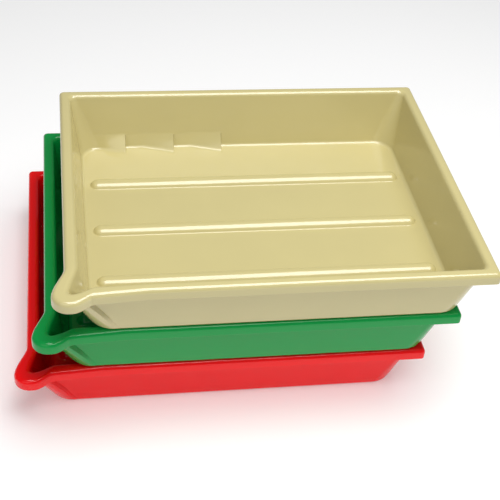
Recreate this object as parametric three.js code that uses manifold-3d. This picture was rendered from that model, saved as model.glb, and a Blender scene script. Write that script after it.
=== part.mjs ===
// A set of three photographic developing trays, stacked with a small stagger.
// Each tray is one plastic moulding: a ribbed floor, sloping walls, a rounded rim
// with a turned-down skirt, and a pouring lip at the front left corner.
// Units are millimetres, +Z is up, and the lip points to -X and -Y.

import * as THREE from 'three';
import { ConvexGeometry } from 'three/addons/geometries/ConvexGeometry.js';
import { mergeVertices } from 'three/addons/utils/BufferGeometryUtils.js';
import Module from 'manifold-3d';

const wasm = await Module();
wasm.setup();

// ---- driving sizes -------------------------------------------------------

const LENGTH = 312; // over the rim, along X
const WIDTH = 262; // over the rim, along Y
const HEIGHT = 51; // floor underside to rim top
const WALL = 2.2; // moulding thickness

const RIM = { width: 8.8, innerRound: 3.4, outerRound: 4, cornerRadius: 3 };
const SKIRT = { depth: 9.4, thickness: 2.2, edgeRound: 0.9 };
const BASIN = { footInset: 17, creaseRound: 3.5, floorRadius: 18, topRadius: 5, footRound: 4.2 };

// The lip pushes the corner outwards; the push fades out along both sides.
const LIP = {
  reach: new THREE.Vector2(10, 10.5), // how far the corner moves, along -X and -Y
  channelShare: 0.75, // part of the reach that the inner channel follows
  outerRadius: 12, // round of the lip seen from above
  channelRadius: 2.5, // round of the channel at rim height
  frontFade: { from: 4, to: 25 }, // distances from the left edge
  sideFade: { from: 0, to: 34 }, // distances from the front edge
  flankLength: 32, // stretch of each side that is finely divided
};

const RIB = { count: 3, pitch: 62, length: 266, width: 13, rise: 4.5, shift: -3 };
const RAMP = { count: 3, first: -127.6, pitch: 42.2, length: 27, reach: 8.6, rise: 12, cover: 1 };

// Each upper tray stands on the right and front rims of the one below it.
const STACK = { stepX: 15.5, stepY: -14.5, gap: 0.3 };

const DETAIL = { cornerSteps: 6, flankSteps: 9, roundSteps: 3, edgeSteps: 1, ribSteps: 16, ribCapSteps: 4 };

const COLOURS = { red: 0xe3202a, green: 0x23a05a, ivory: 0xd9cd98 };
const FINISH = { roughness: 0.22, metalness: 0 };

// ---- plan outline --------------------------------------------------------

// 1 up to fade.from, 0 past fade.to, and a half cosine wave between them.
function fadeOut(distance, fade) {
  const share = THREE.MathUtils.clamp((distance - fade.from) / (fade.to - fade.from), 0, 1);
  return (1 + Math.cos(Math.PI * share)) / 2;
}

// Points of a quarter circle that turns a corner, anticlockwise from startAngle.
function cornerArc(centreX, centreY, radius, startAngle) {
  const curve = new THREE.EllipseCurve(
    centreX, centreY, radius, radius, startAngle, startAngle + Math.PI / 2, false);
  return curve.getPoints(DETAIL.cornerSteps);
}

// The front side just right of the lip, from the lip's arc outwards.
function frontFlank(startX, frontY, push) {
  const points = [];
  for (let step = 1; step <= DETAIL.flankSteps; step += 1) {
    const x = startX + (LIP.flankLength * step) / DETAIL.flankSteps;
    const share = fadeOut(x + LENGTH / 2, LIP.frontFade);
    points.push(new THREE.Vector2(x, frontY - push.y * share));
  }
  return points;
}

// The left side just behind the lip, coming back towards the lip's arc.
function sideFlank(startY, leftX, push) {
  const points = [];
  for (let step = DETAIL.flankSteps; step >= 1; step -= 1) {
    const y = startY + (LIP.flankLength * step) / DETAIL.flankSteps;
    const share = fadeOut(y + WIDTH / 2, LIP.sideFade);
    points.push(new THREE.Vector2(leftX - push.x * share, y));
  }
  return points;
}

// Anticlockwise outline of the tray at one station of its section.
function outline({ inset, radius, lipRadius, lipShare }) {
  const left = -LENGTH / 2 + inset;
  const right = LENGTH / 2 - inset;
  const front = -WIDTH / 2 + inset;
  const back = WIDTH / 2 - inset;
  const push = LIP.reach.clone().multiplyScalar(lipShare);
  const lipX = left - push.x + lipRadius;
  const lipY = front - push.y + lipRadius;
  return [
    ...cornerArc(lipX, lipY, lipRadius, Math.PI),
    ...frontFlank(lipX, front, push),
    ...cornerArc(right - radius, front + radius, radius, -Math.PI / 2),
    ...cornerArc(right - radius, back - radius, radius, 0),
    ...cornerArc(left + radius, back - radius, radius, Math.PI / 2),
    ...sideFlank(lipY, left, push),
  ];
}

// ---- section through the moulding ---------------------------------------

// Sharp corners of the section, from the inner floor over the rim to the base.
// round is how far the rounding reaches back from the sharp corner.
function sectionCorners() {
  const channel = { lipShare: LIP.channelShare };
  const lip = { lipShare: 1 };
  const outer = { inset: 0, radius: RIM.cornerRadius, lipRadius: LIP.outerRadius, ...lip };
  const innerSkirt = {
    inset: SKIRT.thickness,
    radius: RIM.cornerRadius - SKIRT.thickness,
    lipRadius: LIP.outerRadius - SKIRT.thickness,
    ...lip,
  };
  return [
    { inset: BASIN.footInset, z: WALL, radius: BASIN.floorRadius,
      lipRadius: BASIN.floorRadius, lipShare: 0, round: BASIN.creaseRound },
    { inset: RIM.width, z: HEIGHT, radius: BASIN.topRadius,
      lipRadius: LIP.channelRadius, ...channel, round: RIM.innerRound },
    { ...outer, z: HEIGHT, round: RIM.outerRound },
    { ...outer, z: HEIGHT - SKIRT.depth, round: SKIRT.edgeRound },
    { ...innerSkirt, z: HEIGHT - SKIRT.depth, round: SKIRT.edgeRound },
    { ...innerSkirt, z: HEIGHT - WALL, round: SKIRT.edgeRound },
    { inset: RIM.width - WALL, z: HEIGHT - WALL, radius: BASIN.topRadius + WALL,
      lipRadius: LIP.channelRadius + WALL, ...channel, round: SKIRT.edgeRound },
    { inset: BASIN.footInset - WALL, z: 0, radius: BASIN.floorRadius + WALL,
      lipRadius: BASIN.floorRadius + WALL, lipShare: 0, round: BASIN.footRound },
  ];
}

// The station a share of the way from one station to another.
function between(a, b, share) {
  const station = {};
  for (const key of ['inset', 'z', 'radius', 'lipRadius', 'lipShare']) {
    station[key] = THREE.MathUtils.lerp(a[key], b[key], share);
  }
  return station;
}

// The station at a distance from corner towards neighbour, in the section's plane.
function steppedTowards(corner, neighbour, distance) {
  const reach = Math.hypot(neighbour.inset - corner.inset, neighbour.z - corner.z);
  return between(corner, neighbour, distance / reach);
}

// Replaces each sharp corner by a curve that starts and ends on its two straights.
function sectionStations() {
  const corners = sectionCorners();
  const middle = BASIN.footInset + BASIN.floorRadius;
  const floor = { ...corners.at(0), inset: middle };
  const base = { ...corners.at(-1), inset: middle };
  const path = [floor, ...corners, base];
  const stations = [];
  for (let index = 1; index < path.length - 1; index += 1) {
    const corner = path[index];
    const arrival = steppedTowards(corner, path[index - 1], corner.round);
    const departure = steppedTowards(corner, path[index + 1], corner.round);
    const steps = corner.round > SKIRT.edgeRound ? DETAIL.roundSteps : DETAIL.edgeSteps;
    for (let step = 0; step <= steps; step += 1) {
      const share = step / steps;
      const incoming = between(arrival, corner, share);
      const outgoing = between(corner, departure, share);
      stations.push(between(incoming, outgoing, share));
    }
  }
  return stations;
}

// ---- closed surface through the outlines --------------------------------

// Two triangles for each pair of neighbouring points on two rings.
function stripBetween(firstStart, secondStart, count) {
  const indices = [];
  for (let point = 0; point < count; point += 1) {
    const next = (point + 1) % count;
    indices.push(firstStart + point, secondStart + next, firstStart + next);
    indices.push(firstStart + point, secondStart + point, secondStart + next);
  }
  return indices;
}

// A fan of triangles from a centre point to a ring.
function fan(ringStart, count, centre, facesUp) {
  const indices = [];
  for (let point = 0; point < count; point += 1) {
    const next = (point + 1) % count;
    const edge = facesUp ? [ringStart + point, ringStart + next] : [ringStart + next, ringStart + point];
    indices.push(centre, ...edge);
  }
  return indices;
}

function shellGeometry() {
  const stations = sectionStations();
  const rings = stations.map((station) => outline(station).map((p) => [p.x, p.y, station.z]));
  const count = rings[0].length;
  const positions = rings.flat(2);
  const indices = [];
  for (let ring = 0; ring < rings.length - 1; ring += 1) {
    indices.push(...stripBetween(ring * count, (ring + 1) * count, count));
  }
  const floorCentre = positions.length / 3;
  positions.push(0, 0, stations.at(0).z);
  positions.push(0, 0, stations.at(-1).z);
  indices.push(...fan(0, count, floorCentre, true));
  indices.push(...fan((rings.length - 1) * count, count, floorCentre + 1, false));
  const geometry = new THREE.BufferGeometry();
  geometry.setAttribute('position', new THREE.Float32BufferAttribute(positions, 3));
  geometry.setIndex(indices);
  return geometry;
}

// ---- floor details -------------------------------------------------------

// The rib's section is a circular segment of this radius.
const ribRadius = (RIB.rise ** 2 + (RIB.width / 2) ** 2) / (2 * RIB.rise);
const ribAxisZ = WALL + RIB.rise - ribRadius;

// A bar with round ends along X, for a rib or for the groove beneath it.
function barGeometry(radius, y) {
  const straight = RIB.length - RIB.width;
  const bar = new THREE.CapsuleGeometry(radius, straight, DETAIL.ribCapSteps, DETAIL.ribSteps);
  bar.rotateZ(Math.PI / 2);
  bar.translate(0, y, ribAxisZ);
  return bar;
}

function ribPositions() {
  return Array.from({ length: RIB.count }, (_, index) => {
    return RIB.shift + (index - (RIB.count - 1) / 2) * RIB.pitch;
  });
}

// A block that holds only what lies above the middle of the floor's thickness.
function aboveFloorGeometry() {
  const block = new THREE.BoxGeometry(LENGTH, WIDTH, HEIGHT);
  block.translate(0, 0, HEIGHT / 2 + WALL / 2);
  return block;
}

// A shallow wedge at the foot of the back wall. It leaves the wall at startX,
// stands furthest out at its +X end and leans back onto the wall above.
function rampGeometry(startX) {
  const endX = startX + RAMP.length;
  const creaseY = WIDTH / 2 - BASIN.footInset;
  const footY = creaseY - RAMP.reach;
  const wallSlope = (BASIN.footInset - RIM.width) / (HEIGHT - WALL);
  const topY = creaseY + RAMP.rise * wallSlope;
  const buriedZ = WALL - RAMP.cover / 2;
  return new ConvexGeometry([
    new THREE.Vector3(startX, creaseY, buriedZ),
    new THREE.Vector3(endX, creaseY, buriedZ),
    new THREE.Vector3(endX, footY, buriedZ),
    new THREE.Vector3(endX, footY, WALL),
    new THREE.Vector3(endX, topY, WALL + RAMP.rise),
    new THREE.Vector3(endX, topY + RAMP.cover, WALL + RAMP.rise),
  ]);
}

// ---- booleans ------------------------------------------------------------

function toSolid(geometry) {
  const bare = geometry.clone();
  bare.deleteAttribute('normal');
  bare.deleteAttribute('uv');
  const merged = mergeVertices(bare);
  const mesh = new wasm.Mesh({
    numProp: 3,
    vertProperties: new Float32Array(merged.attributes.position.array),
    triVerts: new Uint32Array(merged.index.array),
  });
  return new wasm.Manifold(mesh);
}

function toGeometry(solid) {
  const mesh = solid.getMesh();
  const geometry = new THREE.BufferGeometry();
  geometry.setAttribute('position', new THREE.Float32BufferAttribute(mesh.vertProperties, 3));
  geometry.setIndex(new THREE.Uint32BufferAttribute(mesh.triVerts, 1));
  geometry.computeVertexNormals();
  return geometry;
}

// ---- one tray ------------------------------------------------------------

function withRibs(shell) {
  const aboveFloor = toSolid(aboveFloorGeometry());
  let solid = shell;
  for (const y of ribPositions()) {
    const rib = toSolid(barGeometry(ribRadius, y)).intersect(aboveFloor);
    const groove = toSolid(barGeometry(ribRadius - WALL, y));
    solid = solid.add(rib).subtract(groove);
  }
  return solid;
}

function withRamps(shell) {
  let solid = shell;
  for (let index = 0; index < RAMP.count; index += 1) {
    solid = solid.add(toSolid(rampGeometry(RAMP.first + index * RAMP.pitch)));
  }
  return solid;
}

function trayGeometry() {
  const shell = toSolid(shellGeometry());
  return toGeometry(withRamps(withRibs(shell)));
}

function trayMesh(geometry, colourName, level) {
  const material = new THREE.MeshStandardMaterial({ color: COLOURS[colourName], ...FINISH });
  const mesh = new THREE.Mesh(geometry.clone(), material);
  mesh.name = `${colourName}_tray`;
  mesh.position.set(level * STACK.stepX, level * STACK.stepY, level * (HEIGHT + STACK.gap));
  return mesh;
}

// ---- the set -------------------------------------------------------------

// Centres the set over the origin, standing on z = 0.
function centreOnOrigin(set) {
  const box = new THREE.Box3().setFromObject(set);
  const centre = box.getCenter(new THREE.Vector3());
  for (const tray of set.children) {
    tray.position.x -= centre.x;
    tray.position.y -= centre.y;
  }
}

function traySet() {
  const geometry = trayGeometry();
  const set = new THREE.Group();
  Object.keys(COLOURS).forEach((colourName, level) => {
    set.add(trayMesh(geometry, colourName, level));
  });
  centreOnOrigin(set);
  return set;
}

export default traySet();
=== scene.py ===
"""A stack of three photographic developing trays, each one glossy plastic moulding.

Lengths are metres. A tray is modelled once about its own centre, standing on z = 0,
with its pouring lip towards -X and -Y, and is copied to the place of each CAD tray.
"""

import logging
import math
from collections.abc import Callable, Iterator
from contextlib import contextmanager
from dataclasses import dataclass, field
from enum import Enum

import bmesh
import bpy
from mathutils import Matrix, Vector


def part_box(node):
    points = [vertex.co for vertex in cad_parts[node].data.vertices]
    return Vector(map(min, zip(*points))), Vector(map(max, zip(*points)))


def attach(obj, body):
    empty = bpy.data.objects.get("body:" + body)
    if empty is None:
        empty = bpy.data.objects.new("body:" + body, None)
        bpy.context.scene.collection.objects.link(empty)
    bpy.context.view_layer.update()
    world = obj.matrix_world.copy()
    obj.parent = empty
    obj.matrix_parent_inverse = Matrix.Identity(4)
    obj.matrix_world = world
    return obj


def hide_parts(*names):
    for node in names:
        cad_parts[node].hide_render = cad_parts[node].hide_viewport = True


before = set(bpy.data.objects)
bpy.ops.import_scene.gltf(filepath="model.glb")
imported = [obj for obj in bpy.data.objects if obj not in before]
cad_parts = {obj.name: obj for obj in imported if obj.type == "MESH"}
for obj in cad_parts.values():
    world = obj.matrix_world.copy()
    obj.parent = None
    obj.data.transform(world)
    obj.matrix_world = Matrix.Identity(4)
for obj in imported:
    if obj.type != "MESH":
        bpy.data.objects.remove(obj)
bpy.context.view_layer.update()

LOG = logging.getLogger("developing_trays")
MM = 0.001
# Points closer than this count as lying on the same line or level.
TOUCH = 0.01 * MM
# Points closer than this are joined to one.
WELD = 0.001 * MM
# A weight above this marks a point of a named ring; a bevel leaves less beside it.
WHOLE = 0.999
# A face is upright when its normal rises less than this.
UPRIGHT = 0.5
# Edges that turn more than this stay sharp in the shading.
SMOOTH_ANGLE = math.radians(40)
WHITE = (1.0, 1.0, 1.0, 1.0)


class Finish(Enum):
    """The plastics of the set, each with its material name."""

    RED = "red_plastic"
    GREEN = "green_plastic"
    IVORY = "ivory_plastic"


# ---------------------------------------------------------------- mesh helpers


def deselect_everything() -> None:
    """Leaves no object selected or active."""
    bpy.ops.object.select_all(action="DESELECT")
    bpy.context.view_layer.objects.active = None


def activate(piece: bpy.types.Object) -> None:
    """Makes piece the only selected object and the active one.

    Args:
        piece: The object that the next operators act on.
    """
    deselect_everything()
    piece.select_set(True)
    bpy.context.view_layer.objects.active = piece


@contextmanager
def editing(piece: bpy.types.Object) -> Iterator[None]:
    """Enters edit mode on piece and leaves it at the end.

    Args:
        piece: The mesh object to edit.

    Returns:
        A context in which edit-mode operators act on piece.
    """
    activate(piece)
    bpy.ops.object.mode_set(mode="EDIT")
    yield
    bpy.ops.object.mode_set(mode="OBJECT")


def select_vertices(piece: bpy.types.Object, wanted: Callable[[Vector], bool]) -> None:
    """Selects, in edit mode, the vertices that wanted accepts, and their edges.

    Args:
        piece: The object being edited.
        wanted: Test of a vertex position.
    """
    mesh = bmesh.from_edit_mesh(piece.data)
    bpy.ops.mesh.select_mode(type="VERT")
    for vertex in mesh.verts:
        vertex.select_set(False)
    for edge in mesh.edges:
        edge.select_set(False)
    for face in mesh.faces:
        face.select_set(False)
    for vertex in mesh.verts:
        if wanted(vertex.co):
            vertex.select_set(True)
    mesh.select_flush(True)
    bmesh.update_edit_mesh(piece.data)


def select_edges(piece: bpy.types.Object, wanted: Callable[[bmesh.types.BMEdge], bool]) -> None:
    """Selects, in edit mode, just the edges that wanted accepts.

    Args:
        piece: The object being edited.
        wanted: Test of an edge.
    """
    bpy.ops.mesh.select_mode(type="EDGE")
    bpy.ops.mesh.select_all(action="DESELECT")
    mesh = bmesh.from_edit_mesh(piece.data)
    for edge in mesh.edges:
        if wanted(edge):
            edge.select_set(True)
    bmesh.update_edit_mesh(piece.data)


def selected_vertices(piece: bpy.types.Object) -> list[int]:
    """Returns the indices of the selected vertices, in edit mode."""
    mesh = bmesh.from_edit_mesh(piece.data)
    mesh.verts.index_update()
    return [vertex.index for vertex in mesh.verts if vertex.select]


def pick(piece: bpy.types.Object, indices: list[int]) -> None:
    """Selects, in edit mode, the vertices with these indices, and the edges between them."""
    wanted = set(indices)
    mesh = bmesh.from_edit_mesh(piece.data)
    mesh.verts.index_update()
    bpy.ops.mesh.select_mode(type="VERT")
    bpy.ops.mesh.select_all(action="DESELECT")
    for vertex in mesh.verts:
        if vertex.index in wanted:
            vertex.select_set(True)
    mesh.select_flush(True)
    bmesh.update_edit_mesh(piece.data)


def shift(
    piece: bpy.types.Object, indices: list[int], x: float = 0.0, y: float = 0.0
) -> None:
    """Selects vertices in edit mode and moves them."""
    pick(piece, indices)
    move(x, y)


def assign_to_group(piece: bpy.types.Object, name: str, weight: float) -> None:
    """Puts the vertices selected in edit mode into a vertex group.

    Args:
        piece: The object being edited.
        name: The group, which is made if it is new.
        weight: The weight they get.
    """
    if name not in piece.vertex_groups:
        piece.vertex_groups.new(name=name)
    piece.vertex_groups.active = piece.vertex_groups[name]
    bpy.context.tool_settings.vertex_group_weight = weight
    bpy.ops.object.vertex_group_assign()


def group_weight(piece: bpy.types.Object, vertex: bpy.types.MeshVertex, name: str) -> float:
    """Returns a vertex's weight in a group, or 0 if it isn't in it."""
    number = piece.vertex_groups[name].index
    return next((entry.weight for entry in vertex.groups if entry.group == number), 0.0)


def select_group_loop(piece: bpy.types.Object, name: str) -> None:
    """Selects, in edit mode, the edges whose two ends are wholly in a vertex group."""
    layer = bmesh.from_edit_mesh(piece.data).verts.layers.deform.verify()
    number = piece.vertex_groups[name].index
    select_edges(
        piece, lambda edge: all(v[layer].get(number, 0.0) > WHOLE for v in edge.verts)
    )


def faces_up(piece: bpy.types.Object) -> bool:
    """Tells whether the faces of an open tray surface point up, in edit mode."""
    mesh = bmesh.from_edit_mesh(piece.data)
    return sum(face.normal.z * face.calc_area() for face in mesh.faces) > 0


def copy_of(piece: bpy.types.Object, name: str) -> bpy.types.Object:
    """Copies a piece with a mesh of its own.

    Args:
        piece: The object to copy.
        name: The copy's name.

    Returns:
        The copy, linked into the scene.
    """
    activate(piece)
    bpy.ops.object.duplicate(linked=False)
    copy = bpy.context.object
    copy.name = name
    copy.data.name = name
    return copy


def move(x: float = 0.0, y: float = 0.0, z: float = 0.0) -> None:
    """Translates what is selected in edit mode."""
    bpy.ops.transform.translate(value=(x, y, z))


def grow(factor: float, centre: tuple[float, float, float]) -> None:
    """Scales what is selected in plan about a centre."""
    bpy.ops.transform.resize(value=(factor, factor, 1.0), center_override=centre)


def apply_modifier(piece: bpy.types.Object, kind: str, **settings: object) -> None:
    """Adds a modifier, sets it and applies it.

    Args:
        piece: The object that gets it.
        kind: Blender's type name of the modifier.
        **settings: Values for the modifier's fields.
    """
    activate(piece)
    bpy.ops.object.modifier_add(type=kind)
    modifier = piece.modifiers[-1]
    for name, value in settings.items():
        setattr(modifier, name, value)
    bpy.ops.object.modifier_apply(modifier=modifier.name)


def push(
    piece: bpy.types.Object, name: str, shares: dict[int, float], axis: str, reach: float
) -> None:
    """Moves vertices along an axis, each by its own share of a reach.

    Args:
        piece: The object whose vertices move.
        name: Name of the vertex group that holds the shares.
        shares: The share of each vertex that moves.
        axis: The axis, X or Y.
        reach: How far a whole share moves.
    """
    group = piece.vertex_groups.new(name=name)
    for index, share in shares.items():
        group.add([index], share, "REPLACE")
    apply_modifier(
        piece, "DISPLACE", direction=axis, strength=reach, mid_level=0.0, vertex_group=name
    )


# ---------------------------------------------------------------- the moulding


@dataclass(frozen=True)
class Station:
    """One level of the moulding's section, as a rounded rectangle seen from above."""

    inset: float
    height: float
    radius: float
    lip_radius: float
    lip_share: float

    def towards(self, other: "Station", share: float) -> "Station":
        """Mixes two stations.

        Args:
            other: The station at share 1.
            share: How far the result lies towards other.

        Returns:
            The station in between.
        """

        def mix(a: float, b: float) -> float:
            """Returns the number a share of the way from a to b."""
            return a + (b - a) * share

        return Station(
            mix(self.inset, other.inset),
            mix(self.height, other.height),
            mix(self.radius, other.radius),
            mix(self.lip_radius, other.lip_radius),
            mix(self.lip_share, other.lip_share),
        )


@dataclass(frozen=True)
class Fade:
    """A push that is whole up to start and gone past end, measured along a side."""

    start: float
    end: float

    def at(self, distance: float) -> float:
        """Returns the share of the push that is left at a distance."""
        share = min(max((distance - self.start) / (self.end - self.start), 0.0), 1.0)
        return (1 + math.cos(math.pi * share)) / 2


@dataclass
class Lip:
    """The pouring lip at the front left corner.

    The rim's outer edge is pushed out by the whole reach, the channel by a share of it.
    On each side next to it the flank, cut at an even spacing, takes a push that fades.
    """

    reach_x: float = 10 * MM
    reach_y: float = 10.5 * MM
    channel_share: float = 0.75
    outer_radius: float = 12 * MM
    channel_radius: float = 2.5 * MM
    front_fade: Fade = Fade(4 * MM, 25 * MM)
    side_fade: Fade = Fade(0.0, 34 * MM)
    front_flank: float = 16 * MM
    side_flank: float = 26 * MM
    flank_spacing: float = 2 * MM


@dataclass
class Ribs:
    """The raised ribs that keep a print off the floor."""

    count: int = 3
    pitch: float = 62 * MM
    length: float = 266 * MM
    width: float = 13 * MM
    rise: float = 4.5 * MM
    shift: float = -3 * MM
    fillet: float = 1.2 * MM
    band: float = 1.2 * MM
    around: int = 32
    dome_steps: int = 8
    fillet_steps: int = 3

    def dome_radius(self) -> float:
        """Returns the radius of the rib's rounded section."""
        return (self.rise**2 + (self.width / 2) ** 2) / (2 * self.rise)

    def profile(self) -> list[tuple[float, float]]:
        """Works out the section from the flat band round the foot to the crown.

        Returns:
            Pairs of distance from the rib's middle line and height above the floor.
        """
        radius = self.dome_radius()
        axis = self.rise - radius
        reach = radius + self.fillet
        foot = math.sqrt(reach**2 - (self.fillet - axis) ** 2)
        meet = math.atan2(self.fillet - axis, foot)
        points = [(foot + self.band, 0.0)]
        for step in range(self.fillet_steps + 1):
            turn = -math.pi / 2 - (math.pi / 2 - meet) * step / self.fillet_steps
            points.append((foot + self.fillet * math.cos(turn), self.fillet * (1 + math.sin(turn))))
        for step in range(1, self.dome_steps):
            turn = meet + (math.pi / 2 - meet) * step / self.dome_steps
            points.append((radius * math.cos(turn), axis + radius * math.sin(turn)))
        return points


@dataclass
class Ramps:
    """The three shallow wedges at the foot of the back wall."""

    count: int = 3
    first: float = -127.6 * MM
    pitch: float = 42.2 * MM
    length: float = 27 * MM
    reach: float = 8.6 * MM
    rise: float = 12 * MM
    step: float = 0.8 * MM

    def spans(self) -> list[tuple[float, float]]:
        """Returns the start and end of each wedge along X."""
        starts = [self.first + self.pitch * index for index in range(self.count)]
        return [(start, start + self.length) for start in starts]

    def share(self, x: float) -> float:
        """Returns how far out the crease stands at x, as a share of the reach."""
        for start, end in self.spans():
            if start <= x <= end + TOUCH:
                return (x - start) / self.length
        return 0.0


@dataclass
class TrayMoulding:
    """One tray: floor, sloping walls, rounded rim, skirt, lip, ribs and wedges."""

    length: float = 312 * MM
    width: float = 262 * MM
    height: float = 51 * MM
    wall: float = 2.2 * MM
    rim_width: float = 8.8 * MM
    rim_inner_round: float = 3.2 * MM
    rim_outer_round: float = 3.8 * MM
    rim_radius: float = 3 * MM
    skirt_depth: float = 9.4 * MM
    skirt_edge_round: float = 0.7 * MM
    skirt_edge_segments: int = 3
    foot_inset: float = 17 * MM
    floor_band: float = 2.6 * MM
    crease_round: float = 2.4 * MM
    floor_radius: float = 18 * MM
    top_radius: float = 5 * MM
    corner_segments: int = 12
    wall_rings: int = 7
    round_segments: int = 6
    lip: Lip = field(default_factory=Lip)
    ribs: Ribs = field(default_factory=Ribs)
    ramps: Ramps = field(default_factory=Ramps)

    # ---- stations of the section

    def floor_edge(self) -> Station:
        """Returns the inner edge of the flat band round the floor."""
        inset = self.foot_inset + self.floor_band
        radius = self.floor_radius - self.floor_band
        return Station(inset, self.wall, radius, radius, 0.0)

    def crease(self) -> Station:
        """Returns the foot of the inner wall."""
        return Station(self.foot_inset, self.wall, self.floor_radius, self.floor_radius, 0.0)

    def rim_inner(self) -> Station:
        """Returns the inner edge of the rim."""
        lip = self.lip
        return Station(
            self.rim_width, self.height, self.top_radius, lip.channel_radius, lip.channel_share
        )

    def rim_outer(self) -> Station:
        """Returns the outer edge of the rim."""
        return Station(0.0, self.height, self.rim_radius, self.lip.outer_radius, 1.0)

    def skirt_foot(self) -> Station:
        """Returns the lower edge of the skirt."""
        foot = self.height - self.skirt_depth
        return Station(0.0, foot, self.rim_radius, self.lip.outer_radius, 1.0)

    def wall_stations(self) -> list[Station]:
        """Lists the levels of the wall above the crease, up to the rim's inner edge.

        Returns:
            The stations, the wedges' top among them.
        """
        crease, top = self.crease(), self.rim_inner()
        shares = {self.ramps.rise / (top.height - crease.height), 1.0}
        shares |= {ring / self.wall_rings for ring in range(1, self.wall_rings)}
        return [crease.towards(top, share) for share in sorted(shares)]

    # ---- outline

    def side_x(self, station: Station) -> float:
        """Returns how far the right side of a station is from the middle."""
        return self.length / 2 - station.inset

    def side_y(self, station: Station) -> float:
        """Returns how far the back side of a station is from the middle."""
        return self.width / 2 - station.inset

    def flank_places(self, corner: float, flank: float) -> list[float]:
        """Lists the places of the closely spaced points next to the lip.

        Args:
            corner: Where the lip's arc ends, along the side.
            flank: How far the points go on from there.

        Returns:
            Coordinates along the side.
        """
        spacing = self.lip.flank_spacing
        return [corner + spacing * step for step in range(1, round(flank / spacing) + 1)]

    def wedge_places(self) -> list[float]:
        """Returns the places along X where the crease of the wedges turns."""
        return [x for start, end in self.ramps.spans() for x in (start, end, end + self.ramps.step)]

    def lay_outline(self) -> bpy.types.Object:
        """Makes the floor's outline from a plane with rounded corners.

        Returns:
            An object that holds one closed loop of edges.
        """
        deselect_everything()
        station = self.floor_edge()
        bpy.ops.mesh.primitive_plane_add(size=2, location=(0, 0, station.height))
        tray = bpy.context.object
        tray.name = "tray"
        half_x, half_y = self.side_x(station), self.side_y(station)
        with editing(tray):
            bpy.ops.mesh.select_all(action="SELECT")
            bpy.ops.transform.resize(value=(half_x, half_y, 1))
        bpy.ops.object.transform_apply(location=True, rotation=True, scale=True)
        with editing(tray):
            bpy.ops.mesh.select_all(action="SELECT")
            bpy.ops.mesh.bevel(
                offset=station.radius, segments=self.corner_segments, affect="VERTICES"
            )
            front = self.flank_places(station.radius - half_x, self.lip.front_flank)
            self.cut_across(front, Vector((1, 0, 0)))
            side = self.flank_places(station.radius - half_y, self.lip.side_flank)
            self.cut_across(side, Vector((0, 1, 0)))
            self.cut_across(self.wedge_places(), Vector((1, 0, 0)))
            select_edges(tray, lambda edge: len(edge.link_faces) > 1)
            bpy.ops.mesh.delete(type="EDGE")
        return tray

    def cut_across(self, places: list[float], normal: Vector) -> None:
        """Cuts the plane at each place, square to normal."""
        for place in places:
            bpy.ops.mesh.select_all(action="SELECT")
            bpy.ops.mesh.bisect(plane_co=normal * place, plane_no=normal)

    # ---- rings

    def raise_ring(
        self, tray: bpy.types.Object, old: Station, new: Station, name: str = ""
    ) -> None:
        """Extrudes the selected ring and shapes the copy to the next station.

        Args:
            tray: The object being edited, with the ring at old selected.
            old: The station that the ring has now.
            new: The station that the copy gets.
            name: Vertex group that remembers the new ring, or nothing.
        """
        bpy.ops.mesh.extrude_edges_move(TRANSFORM_OT_translate={"value": (0, 0, 0)})
        # An extruded ring inherits the groups of the ring below it.
        bpy.ops.object.vertex_group_remove_from(use_all_groups=True)
        ring = selected_vertices(tray)
        parts = self.ring_parts(tray, ring, old)
        spread = old.inset - new.inset
        slide = new.lip_radius - old.lip_radius
        move(z=new.height - old.height)
        shift(tray, parts["right"], x=spread)
        shift(tray, parts["left"], x=-spread)
        shift(tray, parts["back"], y=spread)
        shift(tray, parts["front"], y=-spread)
        self.round_corners(tray, parts, old, new)
        shift(tray, parts["front_flank"], x=slide)
        shift(tray, parts["side_flank"], y=slide)
        for part in ("lip", "front_flank", "side_flank"):
            pick(tray, parts[part])
            assign_to_group(tray, part, new.lip_share)
        pick(tray, ring)
        if name:
            assign_to_group(tray, name, 1.0)

    def round_corners(
        self, tray: bpy.types.Object, parts: dict[str, list[int]], old: Station, new: Station
    ) -> None:
        """Gives the corners of a ring the radii of its new station.

        Args:
            tray: The object being edited.
            parts: Vertex indices of the ring's named parts.
            old: The station whose radii the corners have now.
            new: The station whose radii they get.
        """
        half_x, half_y = self.side_x(new), self.side_y(new)
        plain, lip = new.radius / old.radius, new.lip_radius / old.lip_radius
        for name, x, y, factor in (
            ("front_right", half_x, -half_y, plain),
            ("back_right", half_x, half_y, plain),
            ("back_left", -half_x, half_y, plain),
            ("lip", -half_x, -half_y, lip),
        ):
            pick(tray, parts[name])
            grow(factor, (x, y, 0))

    def ring_parts(
        self, tray: bpy.types.Object, ring: list[int], station: Station
    ) -> dict[str, list[int]]:
        """Sorts a ring's vertices into its sides, corners and flanks.

        Args:
            tray: The object being edited.
            ring: Indices of the ring's vertices.
            station: The station that the ring has now.

        Returns:
            The vertex indices of each named part.
        """
        mesh = bmesh.from_edit_mesh(tray.data)
        mesh.verts.ensure_lookup_table()
        half_x, half_y = self.side_x(station), self.side_y(station)
        arc, lip_arc = station.radius + TOUCH, station.lip_radius + TOUCH
        front_end = lip_arc + self.lip.front_flank
        side_end = lip_arc + self.lip.side_flank
        # Distances of each vertex from the left and front sides of the ring.
        places = {
            index: (half_x + mesh.verts[index].co.x, half_y + mesh.verts[index].co.y)
            for index in ring
        }

        def chosen(test: Callable[[float, float], bool]) -> list[int]:
            """Returns the ring's vertices whose two distances pass a test."""
            return [index for index, place in places.items() if test(*place)]

        def on_lip(u: float, v: float) -> bool:
            """Tells whether a vertex is on the lip's arc."""
            return u < lip_arc and v < lip_arc

        def on_front_flank(u: float, v: float) -> bool:
            """Tells whether a vertex is on the front side next to the lip."""
            return v < TOUCH and lip_arc < u < front_end

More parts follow.
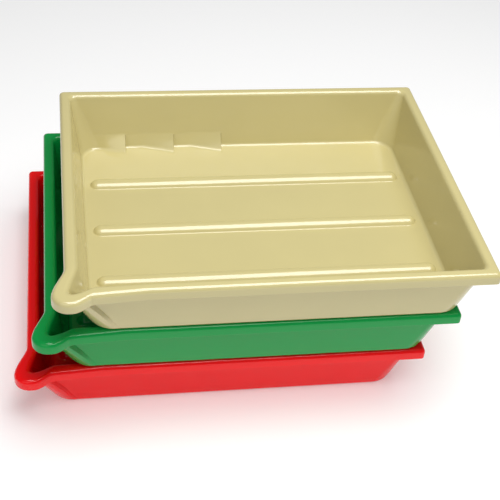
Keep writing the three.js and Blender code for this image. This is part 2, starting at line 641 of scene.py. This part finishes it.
        def on_side_flank(u: float, v: float) -> bool:
            """Tells whether a vertex is on the left side next to the lip."""
            return u < TOUCH and lip_arc < v < side_end

        def on_right(u: float, v: float) -> bool:
            """Tells whether a vertex is on the right side or its corners."""
            return 2 * half_x - u < arc

        def on_back(u: float, v: float) -> bool:
            """Tells whether a vertex is on the back side or its corners."""
            return 2 * half_y - v < arc

        return {
            "right": chosen(on_right),
            "back": chosen(on_back),
            "left": chosen(
                lambda u, v: u < arc and v > half_y or u < TOUCH or on_lip(u, v)
                or on_front_flank(u, v)
            ),
            "front": chosen(
                lambda u, v: v < arc and u > half_x or v < TOUCH or on_lip(u, v)
                or on_side_flank(u, v)
            ),
            "front_right": chosen(lambda u, v: on_right(u, v) and v < arc),
            "back_right": chosen(lambda u, v: on_right(u, v) and on_back(u, v)),
            "back_left": chosen(lambda u, v: u < arc and on_back(u, v)),
            "lip": chosen(on_lip),
            "front_flank": chosen(on_front_flank),
            "side_flank": chosen(on_side_flank),
        }

    def raise_shell(self, tray: bpy.types.Object) -> None:
        """Extrudes the outline into floor band, walls, rim and skirt.

        Args:
            tray: The object that holds the floor's outline.
        """
        walls = self.wall_stations()
        with editing(tray):
            bpy.ops.mesh.select_all(action="SELECT")
            self.raise_ring(tray, self.floor_edge(), self.crease(), "crease")
            old = self.crease()
            for station in walls[:-1]:
                self.raise_ring(tray, old, station)
                old = station
            self.raise_ring(tray, old, walls[-1], "rim_inner")
            self.raise_ring(tray, walls[-1], self.rim_outer(), "rim_outer")
            self.raise_ring(tray, self.rim_outer(), self.skirt_foot())

    # ---- lip

    def push_weights(self, tray: bpy.types.Object) -> dict[str, dict[int, float]]:
        """Works out how much of each push every vertex takes.

        Args:
            tray: The plain shell, with its lip groups filled.

        Returns:
            For each push, the share of every vertex that it moves.
        """
        lip = self.lip
        weights: dict[str, dict[int, float]] = {"push_x": {}, "push_y": {}}
        for vertex in tray.data.vertices:
            place = vertex.co
            share = group_weight(tray, vertex, "lip")
            along_x = group_weight(tray, vertex, "front_flank")
            along_y = group_weight(tray, vertex, "side_flank")
            u = self.length / 2 + place.x - lip.reach_x * along_x
            v = self.width / 2 + place.y - lip.reach_y * along_y
            weights["push_x"][vertex.index] = share + along_x + along_y * lip.side_fade.at(v)
            weights["push_y"][vertex.index] = share + along_y + along_x * lip.front_fade.at(u)
        return weights

    def push_out(self, tray: bpy.types.Object) -> None:
        """Pushes the lip outwards."""
        shares = self.push_weights(tray)
        push(tray, "push_x", shares["push_x"], "X", -self.lip.reach_x)
        push(tray, "push_y", shares["push_y"], "Y", -self.lip.reach_y)

    # ---- floor

    def make_rib(self) -> bpy.types.Object:
        """Models one rib about the origin, open underneath.

        Returns:
            The rib, with a flat band round its foot at floor height.
        """
        ribs = self.ribs
        profile = ribs.profile()
        end = (ribs.length - ribs.width) / 2
        deselect_everything()
        bpy.ops.mesh.primitive_circle_add(
            vertices=ribs.around,
            radius=profile[0][0],
            location=(0, 0, self.wall),
            rotation=(0, 0, math.pi / ribs.around),
        )
        rib = bpy.context.object
        rib.name = "rib"
        bpy.ops.object.transform_apply(location=True, rotation=True, scale=True)
        with editing(rib):
            for side in (-1, 1):
                select_vertices(rib, lambda place, side=side: place.x * side > 0)
                move(x=end * side)
            bpy.ops.mesh.select_all(action="SELECT")
            for (reach, height), (next_reach, next_height) in zip(profile, profile[1:]):
                bpy.ops.mesh.extrude_edges_move(TRANSFORM_OT_translate={"value": (0, 0, 0)})
                ring = selected_vertices(rib)
                move(z=next_height - height)
                for side, half in self.halves(rib, ring).items():
                    pick(rib, half)
                    grow(next_reach / reach, (end * side, 0, 0))
                pick(rib, ring)
            self.close_crown(rib, selected_vertices(rib), profile[-1][1])
        return rib

    def halves(self, rib: bpy.types.Object, ring: list[int]) -> dict[int, list[int]]:
        """Splits a ring of the rib into its -X and +X halves."""
        mesh = bmesh.from_edit_mesh(rib.data)
        mesh.verts.ensure_lookup_table()
        return {
            side: [index for index in ring if mesh.verts[index].co.x * side > 0]
            for side in (-1, 1)
        }

    def close_crown(self, rib: bpy.types.Object, ring: list[int], height: float) -> None:
        """Closes the rib along its crown, one point at each end.

        Args:
            rib: The rib being edited.
            ring: Vertex indices of its highest ring.
            height: That ring's height above the floor.
        """
        pick(rib, ring)
        bpy.ops.mesh.extrude_edges_move(
            TRANSFORM_OT_translate={"value": (0, 0, self.ribs.rise - height)}
        )
        for side in (-1, 1):
            select_vertices(
                rib,
                lambda place, side=side: place.x * side > 0
                and place.z > self.wall + self.ribs.rise - TOUCH,
            )
            bpy.ops.mesh.merge(type="CENTER")

    def lay_floor(self, tray: bpy.types.Object) -> None:
        """Joins the ribs to the shell and fills the floor between them.

        Args:
            tray: The shell, open where the floor goes.
        """
        rib = self.make_rib()
        parts = [rib]
        for index in range(1, self.ribs.count):
            parts.append(copy_of(rib, f"rib_{index}"))
        for index, part in enumerate(parts):
            y = self.ribs.shift + (index - (self.ribs.count - 1) / 2) * self.ribs.pitch
            part.data.transform(Matrix.Translation((0, y, 0)))
        deselect_everything()
        for part in [*parts, tray]:
            part.select_set(True)
        bpy.context.view_layer.objects.active = tray
        bpy.ops.object.join()
        with editing(tray):
            floor = self.wall + TOUCH
            select_edges(
                tray,
                lambda edge: edge.is_boundary and all(v.co.z < floor for v in edge.verts),
            )
            bpy.ops.mesh.fill(use_beauty=True)

    # ---- finishing

    def round_edges(self, tray: bpy.types.Object) -> None:
        """Rounds the crease and both edges of the rim."""
        with editing(tray):
            for name, size in (
                ("crease", self.crease_round),
                ("rim_inner", self.rim_inner_round),
                ("rim_outer", self.rim_outer_round),
            ):
                select_group_loop(tray, name)
                bpy.ops.mesh.bevel(
                    offset=size, segments=self.round_segments, affect="EDGES", clamp_overlap=False
                )

    def thicken(self, tray: bpy.types.Object) -> None:
        """Gives the open surface the moulding's thickness, on its hidden side."""
        with editing(tray):
            bpy.ops.mesh.select_all(action="SELECT")
            bpy.ops.mesh.remove_doubles(threshold=WELD)
            bpy.ops.mesh.normals_make_consistent(inside=False)
            if not faces_up(tray):
                bpy.ops.mesh.flip_normals()
        apply_modifier(
            tray, "SOLIDIFY", thickness=self.wall, offset=-1.0, use_quality_normals=True
        )

    def thicken_wedges(self, tray: bpy.types.Object) -> None:
        """Brings the inner surface forward where the wedges are, and only that."""
        band = self.side_y(self.floor_edge()) - TOUCH
        crease, top = self.crease(), self.rim_inner()
        slope = (crease.inset - top.inset) / (top.height - crease.height)
        shares = {}
        for vertex in tray.data.vertices:
            x, y, z = vertex.co
            level = z - self.wall
            surface = self.side_y(crease) + level * slope
            if level > -TOUCH and band < y < surface + self.wall / 2:
                fade = max(1 - level / self.ramps.rise, 0.0)
                shares[vertex.index] = self.ramps.share(x) * fade
        push(tray, "wedge", shares, "Y", -self.ramps.reach)

    def relay_floor(self, tray: bpy.types.Object) -> None:
        """Takes up the flat of the floor and fills it afresh, up to the wedges."""
        with editing(tray):
            bpy.ops.mesh.select_mode(type="FACE")
            bpy.ops.mesh.select_all(action="DESELECT")
            mesh = bmesh.from_edit_mesh(tray.data)
            for face in mesh.faces:
                if all(abs(vertex.co.z - self.wall) < TOUCH for vertex in face.verts):
                    face.select_set(True)
            bmesh.update_edit_mesh(tray.data)
            bpy.ops.mesh.delete(type="FACE")
            select_edges(tray, lambda edge: edge.is_boundary)
            bpy.ops.mesh.fill(use_beauty=True)
            bpy.ops.mesh.select_all(action="SELECT")
            bpy.ops.mesh.normals_make_consistent(inside=False)

    def ease_skirt(self, tray: bpy.types.Object) -> None:
        """Rounds the two edges at the foot of the skirt."""
        foot = self.skirt_foot().height
        with editing(tray):
            select_edges(
                tray,
                lambda edge: all(abs(v.co.z - foot) < TOUCH for v in edge.verts)
                and any(abs(face.normal.z) < UPRIGHT for face in edge.link_faces),
            )
            bpy.ops.mesh.bevel(
                offset=self.skirt_edge_round, segments=self.skirt_edge_segments, affect="EDGES"
            )

    def build(self) -> bpy.types.Object:
        """Models the whole moulding.

        Returns:
            The tray, standing on z = 0 about the origin.
        """
        tray = self.lay_outline()
        self.raise_shell(tray)
        self.push_out(tray)
        self.lay_floor(tray)
        self.round_edges(tray)
        self.thicken(tray)
        self.thicken_wedges(tray)
        self.relay_floor(tray)
        self.ease_skirt(tray)
        activate(tray)
        bpy.ops.object.shade_smooth_by_angle(angle=SMOOTH_ANGLE)
        apply_modifier(tray, "WEIGHTED_NORMAL", keep_sharp=True)
        tray.vertex_groups.clear()
        return tray


# ---------------------------------------------------------------- finishes


@dataclass(frozen=True)
class GlossPlastic:
    """A glossy moulded plastic, faintly mottled and slightly wavy."""

    name: str
    colour: tuple[float, float, float]
    roughness: float = 0.14
    refraction: float = 1.5
    shine: float = 0.5
    gloss_spread: float = 0.15
    mottle: float = 0.035
    mottle_scale: float = 24.0
    wave_scale: float = 38.0
    wave_height: float = 0.05 * MM

    def build(self) -> bpy.types.Material:
        """Makes the material.

        Returns:
            A node material that reads Object coordinates.
        """
        material = bpy.data.materials.new(self.name)
        material.use_nodes = True
        shader = material.node_tree.nodes["Principled BSDF"]
        shader.inputs["IOR"].default_value = self.refraction
        shader.inputs["Specular IOR Level"].default_value = self.shine
        self.colour_in(material.node_tree, shader)
        self.ripple(material.node_tree, shader)
        return material

    def noise(self, tree: bpy.types.NodeTree, scale: float) -> bpy.types.NodeSocket:
        """Adds a noise texture that is fixed to the object.

        Args:
            tree: The material's node tree.
            scale: The noise's scale, per metre.

        Returns:
            The noise's value.
        """
        place = tree.nodes.new("ShaderNodeTexCoord")
        mapping = tree.nodes.new("ShaderNodeMapping")
        noise = tree.nodes.new("ShaderNodeTexNoise")
        noise.inputs["Scale"].default_value = scale
        tree.links.new(place.outputs["Object"], mapping.inputs["Vector"])
        tree.links.new(mapping.outputs["Vector"], noise.inputs["Vector"])
        return noise.outputs["Fac"]

    def colour_in(self, tree: bpy.types.NodeTree, shader: bpy.types.Node) -> None:
        """Varies the colour and the gloss a little over the surface.

        Args:
            tree: The material's node tree.
            shader: The node that gets both.
        """
        mottle = self.noise(tree, self.mottle_scale)
        tone = tree.nodes.new("ShaderNodeValToRGB")
        dark, light = tone.color_ramp.elements
        dark.color = (*self.shade(1 - self.mottle), 1)
        light.color = (*self.shade(1 + self.mottle), 1)
        gloss = tree.nodes.new("ShaderNodeMapRange")
        gloss.inputs["To Min"].default_value = self.roughness * (1 - self.gloss_spread)
        gloss.inputs["To Max"].default_value = self.roughness * (1 + self.gloss_spread)
        tree.links.new(mottle, tone.inputs["Fac"])
        tree.links.new(mottle, gloss.inputs["Value"])
        tree.links.new(tone.outputs["Color"], shader.inputs["Base Color"])
        tree.links.new(gloss.outputs["Result"], shader.inputs["Roughness"])

    def ripple(self, tree: bpy.types.NodeTree, shader: bpy.types.Node) -> None:
        """Makes the surface very slightly wavy, as moulded plastic is.

        Args:
            tree: The material's node tree.
            shader: The node whose surface is rippled.
        """
        bump = tree.nodes.new("ShaderNodeBump")
        bump.inputs["Distance"].default_value = self.wave_height
        tree.links.new(self.noise(tree, self.wave_scale), bump.inputs["Height"])
        tree.links.new(bump.outputs["Normal"], shader.inputs["Normal"])

    def shade(self, factor: float) -> tuple[float, float, float]:
        """Returns the colour made lighter or darker."""
        return tuple(min(channel * factor, 1.0) for channel in self.colour)


FINISHES = {
    Finish.RED: GlossPlastic(Finish.RED.value, (0.98, 0.002, 0.004), shine=0.35),
    Finish.GREEN: GlossPlastic(Finish.GREEN.value, (0.002, 0.325, 0.06), shine=0.35),
    Finish.IVORY: GlossPlastic(Finish.IVORY.value, (0.565, 0.496, 0.232), shine=0.85),
}


# ---------------------------------------------------------------- the set


@dataclass
class TraySet:
    """The stacked trays, lowest first."""

    moulding: TrayMoulding = field(default_factory=TrayMoulding)
    trays: tuple[tuple[str, Finish], ...] = (
        ("red_tray", Finish.RED),
        ("green_tray", Finish.GREEN),
        ("ivory_tray", Finish.IVORY),
    )

    def build(self) -> None:
        """Models one tray, copies it to each place and dresses the copies."""
        pattern = self.moulding.build()
        for node, finish in self.trays:
            tray = copy_of(pattern, f"{node}_moulding")
            low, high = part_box(node)
            middle = Vector(
                (
                    high.x - self.moulding.length / 2,
                    high.y - self.moulding.width / 2,
                    low.z,
                )
            )
            tray.data.transform(Matrix.Translation(middle))
            self.dress(tray, finish)
            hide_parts(node)
            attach(tray, node)
            LOG.info("%s: %d faces at %s", tray.name, len(tray.data.polygons), tuple(middle))
        bpy.data.objects.remove(pattern)

    def dress(self, tray: bpy.types.Object, finish: Finish) -> None:
        """Gives a tray its plastic."""
        tray.data.materials.clear()
        tray.data.materials.append(FINISHES[finish].build())


# ---------------------------------------------------------------- studio


@dataclass(frozen=True)
class Lamp:
    """A soft box: where it hangs, where it points, its size and its power."""

    name: str
    place: tuple[float, float, float]
    aim: tuple[float, float, float]
    size: tuple[float, float]
    power: float


@dataclass
class Studio:
    """Floor, lights, surroundings and camera."""

    azimuth: float = math.radians(12.04)
    elevation: float = math.radians(39.15)
    roll: float = math.radians(5.48)
    place: tuple[float, float, float] = (-0.488, -2.225, 1.607)
    lens: float = 79.2
    surroundings: float = 0.2
    backdrop: float = 0.9
    floor_size: float = 40.0
    floor_tone: float = 0.82
    floor_roughness: float = 0.9
    floor_glow: float = 0.22
    clip_start: float = 0.01
    lamps: tuple[Lamp, ...] = (
        Lamp("overhead", (0.2, -0.28, 1.25), (0.0, 0.0, 0.0), (1.0, 0.9), 17.5),
        Lamp("front", (-1.2, -1.9, 1.8), (0.0, 0.0, 0.0), (2.4, 1.8), 12.0),
    )

    def build(self, moulding: TrayMoulding) -> None:
        """Sets up everything round the trays.

        Args:
            moulding: Gives the length that the camera's place is measured in.
        """
        self.lay_floor()
        self.hang_lights()
        self.light_surroundings()
        self.aim_camera(moulding)

    def lay_floor(self) -> None:
        """Lays a plain pale floor."""
        bpy.ops.mesh.primitive_plane_add(size=self.floor_size, location=(0, 0, 0))
        floor = bpy.context.object
        floor.name = "floor"
        material = bpy.data.materials.new("floor_paint")
        material.use_nodes = True
        shader = material.node_tree.nodes["Principled BSDF"]
        tone = self.floor_tone
        shader.inputs["Base Color"].default_value = (tone, tone, tone, 1)
        shader.inputs["Roughness"].default_value = self.floor_roughness
        shader.inputs["Emission Color"].default_value = WHITE
        shader.inputs["Emission Strength"].default_value = self.floor_glow
        floor.data.materials.append(material)

    def hang_lights(self) -> None:
        """Hangs the soft boxes."""
        for lamp in self.lamps:
            turn = (Vector(lamp.aim) - Vector(lamp.place)).to_track_quat("-Z", "Y")
            bpy.ops.object.light_add(type="AREA", location=lamp.place)
            light = bpy.context.object
            light.name = lamp.name
            light.rotation_euler = turn.to_euler()
            light.data.shape = "RECTANGLE"
            light.data.size, light.data.size_y = lamp.size
            light.data.energy = lamp.power

    def light_surroundings(self) -> None:
        """Fills the surroundings with white light."""
        world = bpy.data.worlds.new("surroundings")
        world.use_nodes = True
        tree = world.node_tree
        background = tree.nodes["Background"]
        background.inputs["Color"].default_value = WHITE
        # What is seen behind the trays is brighter than what lights them.
        rays = tree.nodes.new("ShaderNodeLightPath")
        strength = tree.nodes.new("ShaderNodeMapRange")
        strength.inputs["To Min"].default_value = self.surroundings
        strength.inputs["To Max"].default_value = self.backdrop
        tree.links.new(rays.outputs["Is Camera Ray"], strength.inputs["Value"])
        tree.links.new(strength.outputs["Result"], background.inputs["Strength"])
        bpy.context.scene.world = world

    def aim_camera(self, moulding: TrayMoulding) -> None:
        """Places the camera relative to the top tray's rim.

        Args:
            moulding: Gives the tray's sizes.
        """
        low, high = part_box("ivory_tray")
        rim = Vector((high.x - moulding.length / 2, high.y - moulding.width / 2, high.z))
        spot = rim + Vector(self.place) * moulding.length
        bpy.ops.object.camera_add(location=spot)
        camera = bpy.context.object
        forward = Vector(
            (
                math.sin(self.azimuth) * math.cos(self.elevation),
                math.cos(self.azimuth) * math.cos(self.elevation),
                -math.sin(self.elevation),
            )
        )
        level = Vector((math.cos(self.azimuth), -math.sin(self.azimuth), 0))
        upright = level.cross(forward)
        right = level * math.cos(self.roll) + upright * math.sin(self.roll)
        up = upright * math.cos(self.roll) - level * math.sin(self.roll)
        turn = Matrix((right, up, -forward)).transposed()
        camera.rotation_euler = turn.to_euler()
        camera.data.lens = self.lens
        camera.data.clip_start = self.clip_start
        bpy.context.scene.camera = camera


def main() -> None:
    """Builds the set and its studio."""
    logging.basicConfig(level=logging.INFO, format="%(name)s: %(message)s")
    bpy.context.scene.view_settings.view_transform = "Standard"
    trays = TraySet()
    trays.build()
    Studio().build(trays.moulding)


if __name__ == "__main__":
    main()
